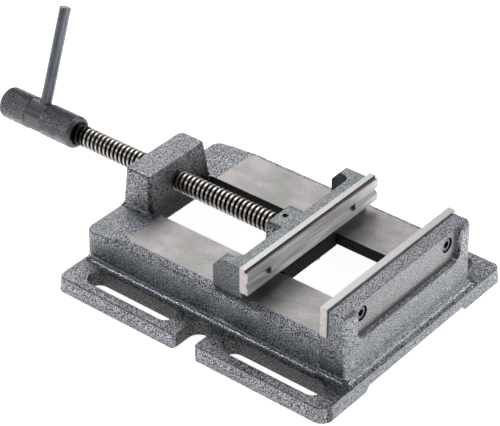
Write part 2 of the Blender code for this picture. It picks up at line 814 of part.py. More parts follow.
def flats_ring(radius):
    # Ring with a hexagon inside, for the flats around the plain band of the handle.
    start, end = handle_rear + flat_start, handle_rear + flat_start + flat_length
    inner, outer = (radius - flat_depth) / math.cos(math.pi / 6), radius * 1.4
    mesh = bmesh.new()
    loops = []
    for x, r in ((start, inner), (start, outer), (end, outer), (end, inner)):
        angles = [math.pi / 3 * k + bar_tilt for k in range(6)]
        loops.append([mesh.verts.new((x, r * math.cos(a), r * math.sin(a) + spindle_z)) for a in angles])
    for low, high in zip(loops, loops[1:] + loops[:1]):
        for i in range(6):
            j = (i + 1) % 6
            mesh.faces.new((low[i], low[j], high[j], high[i]))
    return mesh


def bar_hole():
    mesh = rod(bar_diameter / 2 + screw_gap, -handle_diameter, handle_diameter, 24)
    return lean(mesh)


def lean(mesh):
    # Tilts a mesh about the spindle, away from the vertical, at the place of the tommy bar.
    bmesh.ops.rotate(mesh, verts=mesh.verts, matrix=Matrix.Rotation(-bar_tilt, 3, "X"))
    return shift(mesh, bar_x, 0, spindle_z)


def tommy_bar(parts, look):
    radius, low, high = bar_diameter / 2, -bar_seat, bar_length - bar_seat
    profile = [(low, 0), (low, radius - bar_chamfer), (low + bar_chamfer, radius)]
    profile += [(high - bar_chamfer, radius), (high, radius - bar_chamfer), (high, 0)]
    return make("tommy_bar", lean(turned(profile, 24)), parts, look, (bar_x, 0, spindle_z))


def handle_pin(parts, look):
    return make("handle_pin", handle_pin_mesh(0), parts, look, (handle_pin_x, 0, spindle_z))


def thrust_washer(parts, look):
    inner, outer = journal_diameter / 2 + turn_gap, thrust_washer_diameter / 2
    low, high = boss_back - thrust_washer_thickness - turn_gap, boss_back - turn_gap
    mesh = turned([(low, inner), (low, outer), (high, outer), (high, inner), (low, inner)], 32)
    bmesh.ops.remove_doubles(mesh, verts=mesh.verts, dist=1e-6)
    return make("thrust_washer", aim_x(mesh, 0, spindle_z), parts, look, (boss_back, 0, spindle_z))


def retaining_screw(parts, tools, look):
    # Grub screw whose flat point runs in the groove of the journal.
    top = boss_top - grub_recess
    mesh = shift(rod(grub_diameter / 2, spindle_z + neck_diameter / 2 + 0.0002, top, 16), grub_x, 0)
    screw = make("retaining_screw", mesh, parts, look, (grub_x, 0, top))
    cut(screw, make("grub socket", shift(hexagon(0.0022, top - 0.0016, top + 0.001), grub_x, 0), tools))
    return screw


def attach(parent, *children):
    # Keeps each child where it stands.
    for child in children:
        child.parent = parent
        child.location -= parent_place(parent)


def parent_place(item):
    place = Vector((0, 0, 0))
    while item:
        place += item.location
        item = item.parent
    return place


def build():
    clear_scene()
    parts, tools = collection("drill_press_vise"), collection("cutters")
    paint = material("hammertone_paint", (0.20, 0.21, 0.22), 0.45, 0.2)
    jaw_paint = material("grey_paint", (0.22, 0.24, 0.26), 0.45, 0.2)
    ground = material("ground_steel", (0.55, 0.54, 0.53), 0.32, 1.0)
    thread_steel = material("thread_steel", (0.48, 0.45, 0.42), 0.30, 1.0)
    dark_steel = material("dark_steel", (0.10, 0.10, 0.105), 0.45, 1.0)
    bar_steel = material("bar_steel", (0.20, 0.22, 0.25), 0.35, 1.0)
    bronze = material("bronze", (0.45, 0.32, 0.16), 0.40, 1.0)
    zinc = material("zinc_steel", (0.50, 0.50, 0.50), 0.35, 1.0)

    frame = bpy.data.objects.new("vise_frame", None)
    parts.objects.link(frame)
    casting = base_casting(parts, tools, paint)
    nut = spindle_nut(parts, tools, bronze)
    fixed = [casting, nut, fixed_jaw_plate(parts, tools, ground)]
    moving = moving_jaw_casting(parts, tools, jaw_paint)
    carried = [moving_jaw_plate(parts, tools, ground), keeper_plate(parts, tools, dark_steel)]
    cap = (cap_diameter / 2, cap_seat() - jaw_front + cap_bite, cap_head_diameter / 2)
    cap += (cap_head_height, cap_socket)
    small = (plate_screw_diameter / 2, plate_screw_seat() - plate_screw_tip(), plate_screw_head / 2)
    small += (plate_screw_head_height, plate_screw_socket)
    for word, side in sides:
        name, y = "fixed_jaw_screw_" + word, fixed_screw_y(side)
        fixed.append(socket_screw(name, parts, tools, dark_steel, cap, cap_seat(), y, cap_z()))
        name, y = "moving_jaw_screw_" + word, moving_screw_y(side)
        carried.append(socket_screw(name, parts, tools, dark_steel, small, plate_screw_seat(), y, groove_z))
    for number, (x, y) in enumerate(keeper_bolt_places(), 1):
        carried.append(keeper_bolt(number, x, y, parts, tools, zinc))
        carried.append(keeper_washer(number, x, y, parts, zinc))
    carried += [retaining_screw(parts, tools, dark_steel), thrust_washer(parts, zinc)]
    screw = spindle(parts, tools, thread_steel)
    handle = handle_sleeve(parts, tools, dark_steel)
    attach(screw, handle, handle_pin(parts, dark_steel), tommy_bar(parts, bar_steel))
    attach(moving, screw, *carried)
    attach(frame, moving, *fixed)
    frame.location.x = -frame_x


build()
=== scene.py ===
import math
import bpy
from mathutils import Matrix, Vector


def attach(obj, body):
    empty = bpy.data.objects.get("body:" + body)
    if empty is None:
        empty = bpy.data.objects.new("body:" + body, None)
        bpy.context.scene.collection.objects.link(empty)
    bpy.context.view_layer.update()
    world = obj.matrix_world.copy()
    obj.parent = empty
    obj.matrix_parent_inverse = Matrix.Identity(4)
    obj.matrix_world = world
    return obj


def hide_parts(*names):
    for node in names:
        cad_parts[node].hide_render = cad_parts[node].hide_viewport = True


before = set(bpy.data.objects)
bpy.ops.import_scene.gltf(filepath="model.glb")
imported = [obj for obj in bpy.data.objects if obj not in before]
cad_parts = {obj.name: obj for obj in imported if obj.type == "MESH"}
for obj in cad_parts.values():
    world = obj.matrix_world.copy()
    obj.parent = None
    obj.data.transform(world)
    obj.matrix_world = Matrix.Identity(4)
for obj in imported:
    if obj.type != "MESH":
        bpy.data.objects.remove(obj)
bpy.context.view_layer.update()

# Drill press vise on a white sweep. Metres, +X from the handle towards the fixed jaw, +Z up.

cameraSettings = {
    "place": (0.84419, -0.98429, 0.93769),
    "turn": (55.0077, 0.0872, 39.0275),
    "lens": 154.75,
    "shift": (0.00252, 0.0),
    "sensor": 36,
    "reach": 20,
}

bpy.ops.object.camera_add(location=cameraSettings["place"])
camera = bpy.context.object
camera.name = "productCamera"
camera.rotation_euler = [math.radians(angle) for angle in cameraSettings["turn"]]
camera.data.lens = cameraSettings["lens"]
camera.data.sensor_width = cameraSettings["sensor"]
camera.data.shift_x, camera.data.shift_y = cameraSettings["shift"]
camera.data.clip_end = cameraSettings["reach"]
bpy.context.scene.camera = camera
print("camera set")


def deselectAll():
    if bpy.context.object and bpy.context.object.mode != "OBJECT":
        bpy.ops.object.mode_set(mode="OBJECT")
    bpy.ops.object.select_all(action="DESELECT")


def makeActive(piece):
    deselectAll()
    piece.select_set(True)
    bpy.context.view_layer.objects.active = piece


def applyModifiers(piece):
    makeActive(piece)
    for step in list(piece.modifiers):
        bpy.ops.object.modifier_apply(modifier=step.name)


def settle(piece):
    # A finished piece stands at the origin, unturned and unscaled.
    makeActive(piece)
    bpy.ops.object.transform_apply(location=True, rotation=True, scale=True)


def newMaterial(name, color, roughness, metallic=0.0):
    material = bpy.data.materials.new(name)
    material.use_nodes = True
    shader = material.node_tree.nodes["Principled BSDF"]
    shader.inputs["Base Color"].default_value = (*color, 1)
    shader.inputs["Roughness"].default_value = roughness
    shader.inputs["Metallic"].default_value = metallic
    return material, shader


def addNode(material, kind, **values):
    node = material.node_tree.nodes.new(kind)
    for key, value in values.items():
        if hasattr(node, key):
            setattr(node, key, value)
        else:
            node.inputs[key.replace("_", " ")].default_value = value
    return node


def link(material, source, target):
    material.node_tree.links.new(source, target)


def colorBand(material, source, stops):
    ramp = addNode(material, "ShaderNodeValToRGB")
    ramp.color_ramp.elements[0].position, ramp.color_ramp.elements[0].color = stops[0][0], (*stops[0][1], 1)
    ramp.color_ramp.elements[1].position, ramp.color_ramp.elements[1].color = stops[-1][0], (*stops[-1][1], 1)
    for position, color in stops[1:-1]:
        ramp.color_ramp.elements.new(position).color = (*color, 1)
    link(material, source, ramp.inputs["Fac"])
    return ramp


def rangeOf(material, source, low, high, fromLow=0.0, fromHigh=1.0):
    node = addNode(material, "ShaderNodeMapRange")
    node.inputs["From Min"].default_value = fromLow
    node.inputs["From Max"].default_value = fromHigh
    node.inputs["To Min"].default_value = low
    node.inputs["To Max"].default_value = high
    link(material, source, node.inputs["Value"])
    return node


def bumpFrom(material, shader, source, strength, distance):
    bump = addNode(material, "ShaderNodeBump")
    bump.inputs["Strength"].default_value = strength
    bump.inputs["Distance"].default_value = distance
    link(material, source, bump.inputs["Height"])
    link(material, bump.outputs["Normal"], shader.inputs["Normal"])


def objectNoise(material, scale, detail=3.0, roughness=0.6, stretch=None):
    # Noise that keeps its place on the piece.
    place = addNode(material, "ShaderNodeTexCoord")
    source = place.outputs["Object"]
    if stretch:
        mapping = addNode(material, "ShaderNodeMapping")
        mapping.inputs["Scale"].default_value = stretch
        link(material, source, mapping.inputs["Vector"])
        source = mapping.outputs["Vector"]
    noise = addNode(material, "ShaderNodeTexNoise", Scale=scale, Detail=detail, Roughness=roughness)
    link(material, source, noise.inputs["Vector"])
    return noise


def mixColors(material, amount, first, second):
    # Each colour is a tuple or another node's output.
    mix = addNode(material, "ShaderNodeMix", data_type="RGBA")
    link(material, amount, mix.inputs[0])
    for source, socket in ((first, mix.inputs[6]), (second, mix.inputs[7])):
        if isinstance(source, tuple):
            socket.default_value = (*source, 1)
        else:
            link(material, source, socket)
    return mix


paintSettings = {
    "middleShare": 0.42,
    "cloudGrain": 11,
    "cloud": (0.90, 1.10),
    "glossSwing": 0.12,
    "bumpHeight": 0.0008,
    "coatBump": 0.35,
    "coatRoughness": 0.10,
}


def hammertonePaint(name, dark, light, grain, spread, relief, roughness=0.38, metallic=0.85, coat=0.8):
    # Stove enamel with flakes: pale cells with dark pits between them, under a clear gloss.
    material, shader = newMaterial(name, light, roughness, metallic)
    fine = objectNoise(material, grain, 1.0, 0.35)
    broad = objectNoise(material, grain / paintSettings["cloudGrain"], 2.0, 0.5)
    middle = tuple((a + b) * paintSettings["middleShare"] for a, b in zip(dark, light))
    stops = [(0.5 - spread, dark), (0.5, middle), (0.5 + spread, light)]
    tone = colorBand(material, fine.outputs["Fac"], stops)
    cloud = rangeOf(material, broad.outputs["Fac"], *paintSettings["cloud"], 0.3, 0.7)
    shade = addNode(material, "ShaderNodeVectorMath", operation="SCALE")
    link(material, tone.outputs["Color"], shade.inputs[0])
    link(material, cloud.outputs["Result"], shade.inputs["Scale"])
    link(material, shade.outputs["Vector"], shader.inputs["Base Color"])
    swing = paintSettings["glossSwing"]
    gloss = rangeOf(material, fine.outputs["Fac"], roughness + swing, roughness - swing, 0.35, 0.65)
    link(material, gloss.outputs["Result"], shader.inputs["Roughness"])
    height = paintSettings["bumpHeight"]
    bumpFrom(material, shader, fine.outputs["Fac"], relief, height)
    gentle = addNode(
        material, "ShaderNodeBump", Strength=relief * paintSettings["coatBump"], Distance=height
    )
    link(material, fine.outputs["Fac"], gentle.inputs["Height"])
    shader.inputs["Coat Weight"].default_value = coat
    shader.inputs["Coat Roughness"].default_value = paintSettings["coatRoughness"]
    link(material, gentle.outputs["Normal"], shader.inputs["Coat Normal"])
    return material


def paintedShadeTowards(material, axis, low, high, least):
    # Painted shade: the colour falls evenly to its least share on the way from the high place to the low one.
    shader = material.node_tree.nodes["Principled BSDF"]
    source = shader.inputs["Base Color"].links[0].from_socket
    place = addNode(material, "ShaderNodeTexCoord")
    parts = addNode(material, "ShaderNodeSeparateXYZ")
    link(material, place.outputs["Object"], parts.inputs["Vector"])
    level = addNode(material, "ShaderNodeMath", operation="ABSOLUTE")
    link(material, parts.outputs[axis], level.inputs[0])
    share = rangeOf(material, level.outputs["Value"], least, 1.0, low, high)
    shade = addNode(material, "ShaderNodeVectorMath", operation="SCALE")
    link(material, source, shade.inputs[0])
    link(material, share.outputs["Result"], shade.inputs["Scale"])
    link(material, shade.outputs["Vector"], shader.inputs["Base Color"])


def brushedSteel(name, color, roughness, stretch, scale=60, depth=0.15, relief=0.15):
    material, shader = newMaterial(name, color, roughness, 1.0)
    lines = objectNoise(material, scale, 4.0, 0.65, stretch)
    dark = [channel * (1 - depth) for channel in color]
    pale = [min(1, channel * (1 + depth)) for channel in color]
    tone = colorBand(material, lines.outputs["Fac"], [(0.3, dark), (0.7, pale)])
    link(material, tone.outputs["Color"], shader.inputs["Base Color"])
    rough = rangeOf(material, lines.outputs["Fac"], roughness - 0.06, roughness + 0.08)
    link(material, rough.outputs["Result"], shader.inputs["Roughness"])
    bumpFrom(material, shader, lines.outputs["Fac"], relief, 0.0002)
    return material


def cloudyIron(name):
    # Fine-milled iron with a faint oil film, cloudy rather than streaky.
    material, shader = newMaterial(name, (0.27, 0.26, 0.26), 0.46, 0.85)
    cloud = objectNoise(material, 34, 4.0, 0.55, (1.0, 1.4, 1.0))
    grit = objectNoise(material, 900, 2.0, 0.5, (1.0, 0.35, 1.0))
    stops = [(0.36, (0.215, 0.215, 0.205)), (0.5, (0.30, 0.286, 0.282)), (0.64, (0.43, 0.388, 0.392))]
    tone = colorBand(material, cloud.outputs["Fac"], stops)
    speck = rangeOf(material, grit.outputs["Fac"], 0.90, 1.10, 0.3, 0.7)
    shade = addNode(material, "ShaderNodeVectorMath", operation="SCALE")
    link(material, tone.outputs["Color"], shade.inputs[0])
    link(material, speck.outputs["Result"], shade.inputs["Scale"])
    link(material, shade.outputs["Vector"], shader.inputs["Base Color"])
    rough = rangeOf(material, cloud.outputs["Fac"], 0.40, 0.54, 0.3, 0.7)
    link(material, rough.outputs["Result"], shader.inputs["Roughness"])
    bumpFrom(material, shader, grit.outputs["Fac"], 0.12, 0.0002)
    return material


# Shared by the thread's shape, its metal and the knurl
threadSettings = {
    "axisHeight": 0.0507,
    "root": 0.00575,
    "crest": 0.008,
    "blackUntil": -0.1115,
    "blackBlend": 0.002,
}
knurlTone = {"low": 0.01249, "high": 0.01277}


def heightOverAxis(material, low, high):
    # 0 at the low radius round the spindle's axis, 1 at the high one.
    place = addNode(material, "ShaderNodeTexCoord")
    radial = addNode(material, "ShaderNodeMapping")
    radial.inputs["Location"].default_value = (0, 0, -threadSettings["axisHeight"])
    radial.inputs["Scale"].default_value = (0, 1, 1)
    link(material, place.outputs["Object"], radial.inputs["Vector"])
    distance = addNode(material, "ShaderNodeVectorMath", operation="LENGTH")
    link(material, radial.outputs["Vector"], distance.inputs[0])
    return place, rangeOf(material, distance.outputs["Value"], 0.0, 1.0, low, high)


def knurlMetal(name):
    # Blackened steel whose points are rubbed bright.
    material, shader = newMaterial(name, (0.15, 0.15, 0.16), 0.38, 1.0)
    height = heightOverAxis(material, knurlTone["low"], knurlTone["high"])[1]
    stain = objectNoise(material, 1250, 1.0, 0.4)
    blotch = rangeOf(material, stain.outputs["Fac"], -0.22, 0.22, 0.35, 0.65)
    level = addNode(material, "ShaderNodeMath", operation="ADD")
    link(material, height.outputs["Result"], level.inputs[0])
    link(material, blotch.outputs["Result"], level.inputs[1])
    stops = [(0.08, (0.02, 0.02, 0.022)), (0.42, (0.15, 0.15, 0.16)), (0.85, (0.80, 0.80, 0.84))]
    tone = colorBand(material, level.outputs["Value"], stops)
    link(material, tone.outputs["Color"], shader.inputs["Base Color"])
    rough = rangeOf(material, level.outputs["Value"], 0.50, 0.30)
    link(material, rough.outputs["Result"], shader.inputs["Roughness"])
    bumpFrom(material, shader, stain.outputs["Fac"], 0.15, 0.0002)
    return material


def threadMetal(name):
    # The rolled crests are smoother, and their lighter colour is a painted highlight; the roots are darker,
    # and the turns next to the handle are black.
    material, shader = newMaterial(name, (0.55, 0.50, 0.46), 0.25, 1.0)
    place, height = heightOverAxis(material, threadSettings["root"], threadSettings["crest"])
    stain = objectNoise(material, 160, 4.0, 0.6)
    blotch = rangeOf(material, stain.outputs["Fac"], -0.22, 0.22, 0.3, 0.7)
    level = addNode(material, "ShaderNodeMath", operation="ADD")
    link(material, height.outputs["Result"], level.inputs[0])
    link(material, blotch.outputs["Result"], level.inputs[1])
    stops = [
        (0.18, (0.020, 0.015, 0.013)), (0.5, (0.11, 0.088, 0.072)),
        (0.75, (0.31, 0.28, 0.26)), (0.95, (0.52, 0.49, 0.465)),
    ]
    tone = colorBand(material, level.outputs["Value"], stops)
    along = addNode(material, "ShaderNodeSeparateXYZ")
    link(material, place.outputs["Object"], along.inputs["Vector"])
    until, blend = threadSettings["blackUntil"], threadSettings["blackBlend"]
    black = rangeOf(material, along.outputs["X"], 1.0, 0.0, until - blend, until + blend)
    color = mixColors(material, black.outputs["Result"], tone.outputs["Color"], (0.022, 0.022, 0.023))
    link(material, color.outputs[2], shader.inputs["Base Color"])
    rough = rangeOf(material, level.outputs["Value"], 0.60, 0.36, 0.3, 0.9)
    link(material, rough.outputs["Result"], shader.inputs["Roughness"])
    bumpFrom(material, shader, stain.outputs["Fac"], 0.12, 0.0002)
    return material


castPaint = hammertonePaint("castPaint", (0.001, 0.002, 0.004), (0.53, 0.54, 0.60), 1280, 0.032, 1.0)
# Painted shade: a darker paint for the dark lines along the small roundings.
rimShadePaint = hammertonePaint("rimShadePaint", (0.001, 0.002, 0.003), (0.24, 0.24, 0.265), 1280, 0.045, 1.0)
panelPaint = hammertonePaint("panelPaint", (0.07, 0.071, 0.077), (0.42, 0.41, 0.43), 1300, 0.14, 0.3)
jawPaint = hammertonePaint(
    "jawPaint", (0.045, 0.051, 0.055), (0.23, 0.25, 0.26), 1400, 0.16, 0.2, 0.42, 0.8, 0.3
)
# Painted shade: a dark paint for the walls inside the slots.
slotShadePaint = hammertonePaint(
    "slotShadePaint", (0.003, 0.003, 0.003), (0.25, 0.242, 0.238), 1280, 0.045, 0.8, 0.5, 0.5, 0.1
)
# Painted shade: near black, for the walls inside the opening and the jaw's faces below the ways.
innerShadePaint = hammertonePaint(
    "innerShadePaint", (0.001, 0.001, 0.001), (0.006, 0.006, 0.006), 700, 0.12, 0.3, 0.7, 0.0, 0.0
)
innerShadePaint.node_tree.nodes["Principled BSDF"].inputs["Specular IOR Level"].default_value = 0.2
# Painted shade on the bridge's front: a darker copy of the paint that grows darker still towards the opening
# below.
bridgeShadePaint = hammertonePaint(
    "bridgeShadePaint", (0.001, 0.001, 0.002), (0.45, 0.44, 0.46), 1280, 0.032, 1.0, 0.38, 0.85, 0.15
)
paintedShadeTowards(bridgeShadePaint, "Z", 0.038, 0.065, 0.04)
# Painted shade on the front faces: a darker copy of the paint with evener grain.
frontShadePaint = hammertonePaint("frontShadePaint", (0.035, 0.041, 0.048), (0.45, 0.47, 0.51), 1500, 0.085, 0.6, 0.36)
# Painted shade on the outer side walls: darker towards their foot.
wallShadePaint = hammertonePaint("wallShadePaint", (0.0005, 0.002, 0.004), (0.50, 0.54, 0.60), 1280, 0.032, 1.0)
paintedShadeTowards(wallShadePaint, "Z", 0.026, 0.039, 0.55)
# Painted shadow on the flange's top: darker towards the side walls, on both sides.
flangeShadowPaint = hammertonePaint("flangeShadowPaint", (0.001, 0.002, 0.004), (0.53, 0.545, 0.60), 1280, 0.032, 1.0)
paintedShadeTowards(flangeShadowPaint, "Y", 0.081, 0.097, 0.55)
footPaint = hammertonePaint(
    "footPaint", (0.05, 0.06, 0.07), (0.34, 0.36, 0.40), 1400, 0.07, 0.3, 0.24, 0.85, 1.0
)
# Painted shade: a darker copy of the paint for the step round the recessed panel.
recessShadePaint = hammertonePaint(
    "recessShadePaint", (0.03, 0.031, 0.035), (0.45, 0.455, 0.48), 1300, 0.08, 0.5, 0.4, 0.7, 0.5
)
# Painted glints: a near white copy of the paint for the sides of the jaw's boss.
bossGlintPaint = hammertonePaint("bossGlintPaint", (0.002, 0.003, 0.004), (0.92, 0.94, 0.97), 1100, 0.035, 1.0, 0.26)
milledIron = cloudyIron("milledIron")
groundPlate = brushedSteel("groundPlate", (0.44, 0.435, 0.43), 0.45, (1.0, 1.0, 1.0), 500, 0.12)
# Lit and shaded copies of the plate's steel: the front lighter than the top, the groove's downward side
# lighter still and its upward side darker, as painted light and painted shade.
plateFrontLightened = brushedSteel("plateFrontLightened", (0.68, 0.672, 0.665), 0.60, (1.0, 0.05, 1.0), 620, 0.30, 0.35)
grooveRoofLightened = brushedSteel("grooveRoofLightened", (0.86, 0.85, 0.84), 0.66, (1.0, 0.05, 1.0), 620, 0.25, 0.35)
grooveFloorDarkened = brushedSteel("grooveFloorDarkened", (0.50, 0.494, 0.488), 0.66, (1.0, 0.05, 1.0), 620, 0.35, 0.35)
# Painted reflection: a lighter, pinkish copy of the steel for the ends of the plates.
plateEndReflection = brushedSteel("plateEndReflection", (0.66, 0.61, 0.60), 0.60, (1.0, 1.0, 1.0), 900, 0.30, 0.3)
# Painted shade on the plate's step: a dark riser and a darker ledge.
plateStepShade = brushedSteel("plateStepShade", (0.12, 0.096, 0.10), 0.55, (1.0, 0.2, 1.0), 420, 0.25)
plateLedgeShade = brushedSteel("plateLedgeShade", (0.36, 0.325, 0.33), 0.50, (1.0, 0.1, 1.0), 420, 0.25)
threadSteel = threadMetal("threadSteel")
darkSteel = brushedSteel("darkSteel", (0.10, 0.10, 0.105), 0.40, (1.0, 1.0, 1.0), 300, 0.25)
# Black oxide for the keeper plate, its screw and the socket screws; on the casting's counterbores the same
# black is painted shade.
blackOxideAndShade = brushedSteel("blackOxideAndShade", (0.018, 0.018, 0.019), 0.42, (1.0, 1.0, 1.0), 300, 0.3)
screwHead = brushedSteel("screwHead", (0.16, 0.165, 0.17), 0.40, (1.0, 1.0, 1.0), 500, 0.3)
gripSteel = brushedSteel("gripSteel", (0.145, 0.145, 0.152), 0.46, (1.0, 1.0, 1.0), 700, 0.25, 0.3)
knurlSteel = knurlMetal("knurlSteel")
barSteel = brushedSteel("barSteel", (0.185, 0.198, 0.226), 0.36, (1.0, 1.0, 0.05), 260, 0.2)
barEnd = brushedSteel("barEnd", (0.42, 0.43, 0.44), 0.45, (1.0, 1.0, 1.0), 400, 0.1)
bronzeNut = brushedSteel("bronzeNut", (0.45, 0.32, 0.16), 0.38, (20.0, 1.0, 1.0), 60, 0.1)
zincPlate = brushedSteel("zincPlate", (0.52, 0.52, 0.52), 0.34, (1.0, 1.0, 1.0), 200, 0.1)
print("materials made")


finishSettings = {"merge": 0.000002, "flatAngle": 0.3, "bevelAngle": 40, "segments": 2, "smoothAngle": 32}


def finishedCopy(node, name, body, material, bevel=0.0):
    # The solid's own shape, merged, with eased edges and smooth shading.
    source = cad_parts[node]
    deselectAll()
    piece = bpy.data.objects.new(name, source.data.copy())
    bpy.context.scene.collection.objects.link(piece)
    makeActive(piece)
    bpy.ops.object.mode_set(mode="EDIT")
    bpy.ops.mesh.select_all(action="SELECT")
    bpy.ops.mesh.remove_doubles(threshold=finishSettings["merge"])
    bpy.ops.mesh.dissolve_limited(angle_limit=math.radians(finishSettings["flatAngle"]))
    bpy.ops.object.mode_set(mode="OBJECT")
    piece.data.materials.clear()
    piece.data.materials.append(material)
    if bevel:
        ease = piece.modifiers.new("easedEdges", "BEVEL")
        ease.width = bevel
        ease.segments = finishSettings["segments"]
        ease.limit_method = "ANGLE"
        ease.angle_limit = math.radians(finishSettings["bevelAngle"])
        ease.harden_normals = False
        applyModifiers(piece)
    makeActive(piece)
    bpy.ops.object.shade_smooth_by_angle(angle=math.radians(finishSettings["smoothAngle"]))
    even = piece.modifiers.new("evenShading", "WEIGHTED_NORMAL")
    even.keep_sharp = True
    applyModifiers(piece)
    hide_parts(node)
    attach(piece, body)
    return piece


def faceMaterial(piece, material, chosen):
    # The faces that chosen(center, normal) accepts get the material.
    piece.data.materials.append(material)
    slot = len(piece.data.materials) - 1
    for face in piece.data.polygons:
        if chosen(face.center, face.normal):
            face.material_index = slot


capSettings = {"facing": 0.9, "headFrom": 0.1825}


def offCapFace(center, normal):
    # All of a socket screw but the face of its head
    return abs(normal.x) < capSettings["facing"] or center.x < capSettings["headFrom"]


baseCasting = finishedCopy("base_casting", "baseCasting", "base", castPaint)
jawCasting = finishedCopy("moving_jaw_casting", "movingJawCasting", "moving_jaw", jawPaint)
fixedPlate = finishedCopy("fixed_jaw_plate", "fixedJawPlate", "base", groundPlate, 0.0003)
movingPlate = finishedCopy("moving_jaw_plate", "movingJawPlate", "moving_jaw", groundPlate, 0.00025)
for word in ("near", "far"):
    cap = finishedCopy("fixed_jaw_screw_" + word, "fixedJawScrew" + word.title(), "base", screwHead, 0.0002)
    faceMaterial(cap, blackOxideAndShade, offCapFace)
    finishedCopy("moving_jaw_screw_" + word, "movingJawScrew" + word.title(), "moving_jaw", screwHead, 0.00015)
finishedCopy("spindle_nut", "spindleNut", "base", bronzeNut)
finishedCopy("handle_sleeve", "handleGrip", "spindle", gripSteel)
finishedCopy("handle_pin", "handlePin", "spindle", darkSteel)
bar = finishedCopy("tommy_bar", "tommyBar", "tommy_bar", barSteel)
finishedCopy("keeper_plate", "keeperPlate", "moving_jaw", blackOxideAndShade, 0.0003)
finishedCopy("retaining_screw", "retainingScrew", "moving_jaw", blackOxideAndShade)
finishedCopy("thrust_washer", "thrustWasher", "moving_jaw", zincPlate)
for number in "1234":
    finishedCopy("keeper_bolt_" + number, "keeperBolt" + number, "moving_jaw", zincPlate, 0.0003)
    finishedCopy("keeper_washer_" + number, "keeperWasher" + number, "moving_jaw", zincPlate, 0.0001)
print("pieces finished")

# The spindle's thread, wound finer than the solid's, in step with it and with the nut
helixSettings = {
    "pitch": 0.004,
    "core": 0.0050,
    "crestWidth": 0.001464,
    "flankRun": 0.000603,
    "steps": 48,
    "start": -0.13161,
    "end": 0.07059,
    "lead": 0.0035,
    "runout": 0.0025,
    "chamfer": 0.0008,
    "zeroPlace": -0.04739,
    "blankSides": 96,
    "rodSides": 64,
    "smoothAngle": 30,
    "rod": [
        (-0.14561, 0.00445), (-0.14481, 0.00525), (-0.1316, 0.00525), (-0.1316, 0.00575),
        (0.07059, 0.00575), (0.07059, 0.00525), (0.07541, 0.00525), (0.07541, 0.0037),
        (0.08041, 0.0037), (0.08041, 0.00525), (0.08791, 0.00525), (0.08871, 0.00445),
    ],
}


def selectEdges(piece, chosen):
    # Leaves the piece in edit mode with the edges selected that chosen(one end, other end) accepts.
    makeActive(piece)
    bpy.ops.object.mode_set(mode="EDIT")
    bpy.ops.mesh.select_mode(type="EDGE")
    bpy.ops.mesh.select_all(action="DESELECT")
    bpy.ops.object.mode_set(mode="OBJECT")
    points = piece.data.vertices
    for edge in piece.data.edges:
        edge.select = chosen(points[edge.vertices[0]].co, points[edge.vertices[1]].co)
    bpy.ops.object.mode_set(mode="EDIT")


def turnedRod(name, profile, sides):
    # A round rod along X: a disc is extruded from one place to the next and scaled to its radius.
    axis = threadSettings["axisHeight"]
    deselectAll()
    bpy.ops.mesh.primitive_circle_add(
        vertices=sides, radius=profile[0][1], fill_type="NGON", location=(profile[0][0], 0, axis),
        rotation=(0, math.radians(90), 0),
    )
    rod = bpy.context.object
    rod.name = name
    settle(rod)
    bpy.ops.object.mode_set(mode="EDIT")
    bpy.ops.mesh.select_all(action="SELECT")
    for (place, radius), (nextPlace, nextRadius) in zip(profile, profile[1:]):
        bpy.ops.mesh.extrude_region_move(TRANSFORM_OT_translate={"value": (nextPlace - place, 0, 0)})
        bpy.ops.transform.resize(
            value=(1, nextRadius / radius, nextRadius / radius), center_override=(nextPlace, 0, axis)
        )
    bpy.ops.mesh.select_all(action="SELECT")
    bpy.ops.mesh.normals_make_consistent(inside=False)
    bpy.ops.object.mode_set(mode="OBJECT")
    return rod


def spindleThread():
    pitch, axis, steps = helixSettings["pitch"], threadSettings["axisHeight"], helixSettings["steps"]
    zero, half, run = helixSettings["zeroPlace"], helixSettings["crestWidth"] / 2, helixSettings["flankRun"]
    core, crest, root = helixSettings["core"], threadSettings["crest"], threadSettings["root"]
    turnsBefore = math.ceil((zero - helixSettings["start"]) / pitch) + 2
    turns = turnsBefore + math.ceil((helixSettings["end"] - zero) / pitch) + 2
    first = zero - turnsBefore * pitch
    deselectAll()
    bpy.ops.mesh.primitive_plane_add(size=1, location=(0, 0, 0))
    ridge = bpy.context.object
    ridge.name = "spindleThread"
    deep = half + run * (crest - core) / (crest - root)
    corners = {(-1, -1): (-deep, core), (1, -1): (deep, core), (1, 1): (half, crest), (-1, 1): (-half, crest)}
    for point in ridge.data.vertices:
        along, out = corners[(1 if point.co.x > 0 else -1, 1 if point.co.y > 0 else -1)]
        point.co = (first + along, out, 0)
    bpy.ops.object.mode_set(mode="EDIT")
    bpy.ops.mesh.select_all(action="SELECT")
    bpy.ops.mesh.delete(type="ONLY_FACE")
    bpy.ops.object.mode_set(mode="OBJECT")
    wind = ridge.modifiers.new("wind", "SCREW")
    wind.axis = "X"
    wind.angle = math.radians(360)
    wind.screw_offset = pitch
    wind.iterations = turns
    wind.steps = steps
    wind.render_steps = steps
    wind.use_merge_vertices = False
    applyModifiers(ridge)
    ridge.location = (0, 0, axis)
    settle(ridge)
    bpy.ops.object.mode_set(mode="EDIT")
    bpy.ops.mesh.select_mode(type="EDGE")
    bpy.ops.mesh.select_all(action="DESELECT")
    bpy.ops.mesh.select_non_manifold()
    bpy.ops.mesh.edge_face_add()
    bpy.ops.mesh.select_all(action="SELECT")
    bpy.ops.mesh.normals_make_consistent(inside=False)
    bpy.ops.object.mode_set(mode="OBJECT")
    return ridge


